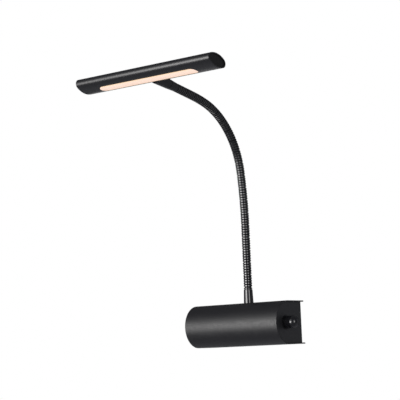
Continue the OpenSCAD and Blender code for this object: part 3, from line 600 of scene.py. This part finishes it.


# The crests get a full glossy coat and the grooves a thin one, which keeps them dark: painted shade in the
# grooves.
hose_black = powder_coat("hose_coating", 0.7, 0.08, 0.002 * mm, Coat_Roughness=0.1, Coat_IOR=1.9)
crest_gloss_and_groove_shade = hose_black.node("ShaderNodeAttribute", {"attribute_name": "crest_gloss_and_groove_shade"}, output="Fac")
hose_black.vary("Coat Weight", crest_gloss_and_groove_shade)
# Coat weight on the crests and in the grooves. The low groove value is painted shade.
crest_gloss, groove_painted_shade = 1.0, 0.15
cable_black = moulded("cable_sheath", grey(0.015), grey(0.025), 0.5, 0.5 * mm, 0.01 * mm)
cable_r, cable_play, cable_dip = 2.1 * mm, 0.5 * mm, 0.2 * mm
for i in range(1, link_count + 1):
    bm = turned(hose_outline(i), 56)
    coat = bm.verts.layers.float.new("crest_gloss_and_groove_shade")
    for vert in bm.verts:
        vert[coat] = crest_gloss if vert.co.xy.length > rib_side_r - hair else groove_painted_shade
    laid(bm)
    hose = piece(bm, f"hose_{i:02d}", hose_black, "hose_black", f"gooseneck_{i:02d}")
    start = (i - 1) * link_length + hinge_rise if i > 1 else -cable_dip
    end = i * link_length + hinge_rise - cable_play if i < link_count else sleeve_start
    cable = piece(cable_length(start, end), f"cable_{i:02d}", cable_black, "cable_sheath")
    for part in (hose, cable):
        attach(part, body_of_link(i))


# Cable: a round two-core sheath from the driver, up through nipple, hose and stub to the LED board.
# This is its length inside the base.
cable_route = [
    (-5.7, -33.6, 5), (-1, -33.6, 5), (7, -29.6, 5), (6.5, -23.4, 5.5), (2.2, -19.1, 10.6),
    (0, -18.3, 14.6), (0, -18.3, 26), (0, -18.3, 44.9),
]
foot = wire("cable_foot", cable_route, cable_r, cable_black, "cable_sheath", "neck_cable")
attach(foot, "base")


# Sleeve and stub: turned steel, painted black. The sleeve is crimped on the hose's end, the stub's
# spigot sits in it, and the stub's thread goes into the light bar, whose rear edge it is cut to fit.
head_low, head_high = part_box("head_shell")
head_centre = (head_low + head_high) / 2
head_s = 364.67 * mm
head_tilt = neck_place(head_s)[1] - pi / 2
in_head = Matrix.Translation(head_centre) @ Matrix.Rotation(head_tilt, 4, "X")
head_a, head_b, nose_r = 16.1 * mm, 8.15 * mm, 5.6 * mm
sleeve_end = sleeve_start + 13 * mm
sleeve_bore, sleeve_foot_r, sleeve_end_r = 3.5 * mm, 5.2 * mm, 5.95 * mm
socket_r, socket_start = 4.4 * mm, sleeve_end - 8 * mm
stub_start, stub_end = sleeve_end + 0.8 * mm, head_s - head_a + 3 * mm
stub_start_r, stub_end_r = 6.05 * mm, 7 * mm
nose_y = head_a - nose_r
broad_drop = (nose_y ** 2 - (head_b - nose_r) ** 2) / 2 / (head_b - nose_r)
broad_r = broad_drop + head_b
spigot_r, thread_r, stub_bore = 4.35 * mm, 3.2 * mm, 2.4 * mm
stub_tail, cable_end = head_s - 7.2 * mm, head_s - 4.8 * mm
spigot_start = sleeve_end - 7.7 * mm
stub_steps = 12


def oval_rear(height):
    """Distance of the oval's rear edge from the bar's middle, at a height in the bar's frame."""
    if abs(height) < nose_r * sin(pi / 2 - asin(nose_y / (broad_r - nose_r))):
        return nose_y + sqrt(nose_r ** 2 - height ** 2)
    return sqrt(max(broad_r ** 2 - (abs(height) + broad_drop) ** 2, 0))


stub_paint = powder_coat("stub_paint", 0.3, 0.55, 0.01 * mm)
bm = turned([
    (sleeve_bore, sleeve_start), (sleeve_foot_r, sleeve_start), (sleeve_end_r, sleeve_end),
    (socket_r, sleeve_end), (socket_r, socket_start), (sleeve_bore, socket_start),
])
soften(bm, 0.2 * mm)
laid(bm)
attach(crisp(piece(bm, "sleeve", stub_paint, "collar_paint", "end_sleeve")), "head")

stub_outline = [(stub_bore, spigot_start), (spigot_r, spigot_start), (spigot_r, stub_start)]
for k in range(stub_steps + 1):
    stub_outline.append((stub_start_r + (stub_end_r - stub_start_r) * k / stub_steps,
                         stub_start + (stub_end - stub_start) * k / stub_steps))
stub_outline += [(r * mm, stub_end) for r in (6, 5, 4)]
bm = turned(stub_outline + [(thread_r, stub_end), (thread_r, stub_tail), (stub_bore, stub_tail)])
soften(bm, 0.15 * mm, 2, radians(60))
for vert in bm.verts:
    if vert.co.xy.length > thread_r + 0.2 * mm:
        vert.co.z = min(vert.co.z, head_s - oval_rear(vert.co.y))
bmesh.ops.remove_doubles(bm, verts=bm.verts, dist=0.02 * mm)
laid(bm)
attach(crisp(piece(bm, "stub", stub_paint, "collar_paint", "head_stub")), "head")
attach(piece(cable_length(sleeve_start, cable_end), "cable_head", cable_black, "cable_sheath"), "head")


# Light bar: an extruded aluminium tube of oval section, powder-coated black, with a slot milled
# along its underside. The stub's nut holds it from inside.
head_half = 100 * mm
head_wall = 1.4 * mm
slot_half, slot_r = 72.5 * mm, 7 * mm


def oval(bm, x, inset):
    """Draw the bar's closed oval section of four arcs, inside its outline by inset."""
    flat_r = broad_r - inset
    half_turn = asin(nose_y / (broad_r - nose_r))
    first = bm.verts.new((x, flat_r * sin(half_turn), flat_r * cos(half_turn) - broad_drop))
    vert = first
    for centre, turn, steps in (((x, 0, -broad_drop), 2 * half_turn, 28),
                                ((x, -nose_y, 0), pi - 2 * half_turn, 26),
                                ((x, 0, broad_drop), 2 * half_turn, 28),
                                ((x, nose_y, 0), pi - 2 * half_turn, 26)):
        vert = spun_last(bm, vert, centre, X, turn, steps)
    bmesh.ops.remove_doubles(bm, verts=bm.verts, dist=0.0005 * mm)


def mill_slot(bm):
    """Cut the underside along the slot's outline, and take out what lies inside it."""
    under = lambda face: face.calc_center_median().z < -2 * mm
    turns = [pi / 2 * k / 10 for k in range(11)]
    for side in (-1, 1):
        for turn in turns:
            cut_across(bm, Vector((0, side * slot_r * sin(turn), 0)), Y, under)
            cut_across(bm, Vector((side * (slot_half - slot_r + slot_r * cos(turn)), 0, 0)), X)
    inside = lambda p: Vector((max(abs(p.x) - slot_half + slot_r, 0), p.y)).length - slot_r
    for face in [face for face in bm.faces if under(face)]:
        far = [inside(vert.co) for vert in face.verts]
        if min(far) < -hair and max(far) > hair:
            rim = [vert for vert, d in zip(face.verts, far) if abs(d) < hair]
            if len(rim) == 2:
                bmesh.ops.connect_verts(bm, verts=rim)
    milled = [face for face in bm.faces if under(face) and inside(face.calc_center_median()) < 0]
    bmesh.ops.delete(bm, geom=milled, context="FACES")


head_paint = powder_coat("bar_powder_coat", 0.36, 0.78, 0.003 * mm)
bm = bmesh.new()
oval(bm, -head_half, 0)
swept(bm, bm.edges[:], 2 * head_half * X)
mill_slot(bm)
thickened(bm, head_wall)
soften(bm, 0.2 * mm, 2, radians(50))
bmesh.ops.transform(bm, matrix=in_head, verts=bm.verts)
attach(crisp(piece(bm, "light_bar", head_paint, "head_paint", "head_shell")), "head")


# End caps: black moulded plugs of the bar's inner section, with a hollow back. They are pushed into
# the bar's ends and sit a little below their rims.
cap_inset, cap_play = 1 * mm, 0.05 * mm
cap_depth, cap_wall, cap_hollow = 6 * mm, 1.5 * mm, 4 * mm
cap_plastic = moulded("cap_plastic", grey(0.008), grey(0.012), 0.55, 0.4 * mm, 0.012 * mm,
                      Specular_IOR_Level=0.36)
for side, end in ((-1, "left"), (1, "right")):
    bm = bmesh.new()
    oval(bm, side * (head_half - cap_inset), head_wall + cap_play)
    front = bmesh.ops.contextual_create(bm, geom=bm.edges[:])["faces"]
    back = pushed(bm, front, -side * cap_depth * X)
    bmesh.ops.inset_region(bm, faces=back, thickness=cap_wall)
    pushed(bm, back, side * cap_hollow * X)
    bmesh.ops.delete(bm, geom=back, context="FACES_ONLY")
    soften(bm, 0.2 * mm, 2, radians(60))
    bmesh.ops.transform(bm, matrix=in_head, verts=bm.verts)
    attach(crisp(piece(bm, f"cap_{end}", cap_plastic, "cap_plastic", f"head_cap_{end}")), "head")


# LED strip: a row of warm white LEDs on a white board, on an aluminium carrier that spreads their heat
# into the bar.
aluminium = plated("aluminium", (0.70, 0.71, 0.72, 1), (0.80, 0.80, 0.81, 1), 0.35, 5 * mm)
dress(aluminium, "led_carrier")
board_white = moulded("board_white", (0.8, 0.8, 0.78, 1), (0.74, 0.74, 0.7, 1), 0.45, 0.3 * mm, 0.005 * mm)
dress(board_white, "led_board")
phosphor = moulded("led_phosphor", (0.85, 0.7, 0.25, 1), (0.9, 0.78, 0.35, 1), 0.5, 0.3 * mm, 0.005 * mm)
dress(phosphor, "led_chips")


# Diffuser: an opal moulding that fills the slot from inside and glows. A flange holds it behind the wall,
# and its face follows the oval a little below the bar's surface.
lens_top, lens_step, lens_recess = -4 * mm, 1 * mm, 0.1 * mm
lens_strips, strip_width = 6, 1.05 * mm
flange_lip, flange_thickness = 1 * mm, 1.4 * mm
slot_seam = 0.2 * mm


def stadium(bm, length_half, end_r, height):
    """Draw an outline with round ends in X and Y."""
    straight = length_half - end_r
    first = bm.verts.new((straight, -end_r, height))
    right = spun_last(bm, first, (straight, 0, height), Z, pi, 28)
    left = drawn_to(bm, right, x=-straight)
    spun_last(bm, left, (-straight, 0, height), Z, pi, 28)
    last = min(bm.verts, key=lambda vert: (vert.co - Vector((-straight, -end_r, height))).length)
    bm.edges.new((last, first))


def underside(y, inset):
    return broad_drop - sqrt((broad_r - inset) ** 2 - y ** 2)


opal = Finish("opal_diffuser", Roughness=0.45, Emission_Strength=1.0)
milk = opal.noise(14 * mm, 2)
fine = opal.noise(0.5 * mm, 2)
opal.vary("Base Color", opal.shade(milk, (0.42, 0.38, 0.33, 1), (0.46, 0.42, 0.37, 1)))
width_way = in_head.to_3x3().col[1]
across = opal.node("ShaderNodeVectorMath", {"operation": "DOT_PRODUCT"}, {0: opal.place, 1: width_way}, 1)
middle = head_centre.dot(width_way)
from_middle = opal.node("ShaderNodeMath", {"operation": "ABSOLUTE"}, {0: across - middle})
edge = opal.node("ShaderNodeMapRange", {"interpolation_type": "SMOOTHSTEP"},
                 {"Value": from_middle, "From Min": 0.6 * slot_r, "From Max": slot_r})
glow = opal.shade(milk, (0.69, 0.47, 0.38, 1), (0.73, 0.51, 0.42, 1))
opal.vary("Emission Color", opal.shade(edge, glow, (0.70, 0.44, 0.20, 1)))
opal.relief(fine, 0.005 * mm)
bm = bmesh.new()
stadium(bm, slot_half + flange_lip, slot_r + flange_lip, lens_top)
top = bmesh.ops.contextual_create(bm, geom=bm.edges[:])["faces"]
flange = pushed(bm, top, -flange_thickness * Z)
bmesh.ops.inset_region(bm, faces=flange, thickness=flange_lip + slot_seam, use_even_offset=True)
lens = pushed(bm, flange, -lens_step * Z)
bmesh.ops.delete(bm, geom=flange, context="FACES_ONLY")
lens_z = lens[0].calc_center_median().z
on_lens = lambda face: abs(face.calc_center_median().z - lens_z) < hair
for k in range(-lens_strips, lens_strips + 1):
    cut_across(bm, Vector((0, k * strip_width, 0)), Y, on_lens)
for vert in bm.verts:
    if abs(vert.co.z - lens_z) < hair:
        vert.co.z = underside(vert.co.y, lens_recess)
soften(bm, 0.15 * mm, 2, radians(50))
bmesh.ops.transform(bm, matrix=in_head, verts=bm.verts)
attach(crisp(piece(bm, "opal_lens", opal, "opal", "diffuser")), "head")


# Studio: a pale paper floor far below, a white surround and two soft boxes. Dark panels with a dim glow
# stand round the set, which only the lamp's gloss shows: painted reflections of a dim room. The camera is
# in front, to the right and a little below.
def staged(bm, name, finish):
    """Turn a bmesh into a part of the studio."""
    mesh = bpy.data.meshes.new(name)
    bm.to_mesh(mesh)
    bm.free()
    mesh.materials.append(finish.material)
    made = bpy.data.objects.new(name, mesh)
    bpy.context.scene.collection.objects.link(made)
    return made


def background_rays(tree):
    """A factor that is 1 for rays that see the bright background, and 0 for those that light the lamp."""
    rays = tree.nodes.new("ShaderNodeLightPath")
    seen = rays.outputs["Is Camera Ray"]
    for ray in ("Is Glossy Ray", "Is Transmission Ray"):
        either = tree.nodes.new("ShaderNodeMath")
        either.operation = "MAXIMUM"
        tree.links.new(seen, either.inputs[0])
        tree.links.new(rays.outputs[ray], either.inputs[1])
        seen = either.outputs[0]
    return seen


floor_z, floor_half = -1.1, 14
floor_paper = Finish("floor_paper", Roughness=0.9, Specular_IOR_Level=0.1, Emission_Strength=1.0)
fibres = floor_paper.noise(20 * mm, 3)
floor_paper.vary("Base Color", floor_paper.shade(fibres, grey(0.66), grey(0.70)))
floor_seen = Signal(floor_paper, background_rays(floor_paper.tree))
floor_paper.vary("Emission Color", floor_paper.shade(floor_seen, grey(0), grey(0.5)))
bm = bmesh.new()
bmesh.ops.create_grid(bm, x_segments=8, y_segments=8, size=floor_half)
bmesh.ops.translate(bm, verts=bm.verts, vec=floor_z * Z)
staged(bm, "studio_floor", floor_paper)

world = bpy.data.worlds.new("studio")
world.use_nodes = True
bpy.context.scene.world = world
background = world.node_tree.nodes["Background"]
background.inputs["Color"].default_value = grey(1.0)
ambient = 0.35
strength = world.node_tree.nodes.new("ShaderNodeMapRange")
strength.inputs["To Min"].default_value = ambient
strength.inputs["To Max"].default_value = 1.0
world.node_tree.links.new(background_rays(world.node_tree), strength.inputs["Value"])
world.node_tree.links.new(strength.outputs["Result"], background.inputs["Strength"])

light_target = Vector((0, -0.08, 0.14))
soft_white = (1.0, 0.985, 0.975)


def toward(azimuth, elevation):
    """Direction from the object, with azimuth 0 to the front and 90 to the right."""
    a, e = radians(azimuth), radians(elevation)
    return Vector((sin(a) * cos(e), -cos(a) * cos(e), sin(e)))


def soft_box(name, azimuth, elevation, distance, width, height, radiance):
    lamp = bpy.data.lights.new(name, "AREA")
    lamp.shape = "RECTANGLE"
    lamp.color = soft_white
    lamp.size, lamp.size_y = width, height
    lamp.energy = radiance * pi * width * height
    made = bpy.data.objects.new(name, lamp)
    bpy.context.scene.collection.objects.link(made)
    place = light_target + distance * toward(azimuth, elevation)
    turn = (place - light_target).to_track_quat("Z", "Y").to_matrix().to_4x4()
    made.matrix_world = Matrix.Translation(place) @ turn


soft_box("soft_box_left", azimuth=-18.5, elevation=-3, distance=3.0, width=2.25, height=1.75, radiance=6.8)
soft_box("soft_box_right", azimuth=60, elevation=0, distance=3.0, width=1.17, height=1.2, radiance=2.8)

panel_radius, panel_top = 2.4, 2.2
# The panels' glow is a little blue: a painted cool tint in the lamp's reflections.
reflection_tint = (0.985, 1.0, 1.08, 1)


def reflection_panel(bm, name, glow):
    """Hang a dark panel with a dim glow, which only the gloss of the lamp shows: a painted reflection."""
    finish = Finish(name, Base_Color=grey(0.01), Roughness=1.0, Specular_IOR_Level=0.0,
                    Emission_Color=reflection_tint, Emission_Strength=glow)
    made = staged(bm, name, finish)
    made.visible_camera = made.visible_diffuse = made.visible_shadow = False


# Side panels: each glow is a painted reflection of the dim room on that side, seen only in the lamp's
# gloss.
for name, first_azimuth, last_azimuth, low, glow in (
        ("painted_reflection_left", -134, -43, floor_z, 0.08), ("painted_reflection_front", 2, 47, floor_z, 0.17),
        ("painted_reflection_side", 73, 112, floor_z, 0.1), ("painted_reflection_right", 112, 160, floor_z, 0.24),
        ("painted_reflection_back", 160, 209, floor_z, 0.03), ("painted_reflection_top", 209, 226, 0.45, 0.05)):
    bm = bmesh.new()
    foot = bm.verts.new(light_target.xy.to_3d() + panel_radius * toward(first_azimuth, 0) + low * Z)
    drawn_to(bm, foot, z=panel_top)
    bmesh.ops.spin(bm, geom=bm.verts[:] + bm.edges[:], cent=light_target.xy.to_3d(), axis=Z,
                   angle=radians(last_azimuth - first_azimuth), steps=24)
    reflection_panel(bm, name, glow)
# Ceiling and floor panels: their glow is a painted reflection of a dim ceiling and floor, seen only in the
# gloss.
for name, y, height, glow in (
        ("painted_reflection_ceiling", 0.6, 1.6, 0.12), ("painted_reflection_floor", -panel_radius, floor_z + 0.05, 0.17),
        ("painted_reflection_floor_rear", panel_radius, floor_z + 0.05, 0.26)):
    bm = bmesh.new()
    bmesh.ops.create_grid(bm, x_segments=2, y_segments=2, size=panel_radius)
    bmesh.ops.translate(bm, verts=bm.verts, vec=(0, y, height))
    reflection_panel(bm, name, glow)

camera_az, camera_el, camera_roll = 37.512, -6.547, radians(-2.354)
camera_place = Vector((1.00137, -1.41357, -0.03872))
focal_pixels, image_pixels = 1377.33, 400
back = toward(camera_az, camera_el)
right = toward(camera_az + 90, 0)
up = back.cross(right)
rolled_right = cos(camera_roll) * right + sin(camera_roll) * up
rolled_up = -sin(camera_roll) * right + cos(camera_roll) * up
camera = bpy.data.cameras.new("camera")
camera.sensor_width = 36
camera.lens = focal_pixels / image_pixels * camera.sensor_width
camera.clip_end = 50
view = bpy.data.objects.new("camera", camera)
bpy.context.scene.collection.objects.link(view)
view.matrix_world = Matrix.Translation(camera_place) @ Matrix(
    (rolled_right, rolled_up, back)).transposed().to_4x4()
bpy.context.scene.camera = view
bpy.context.scene.view_settings.view_transform = "Standard"
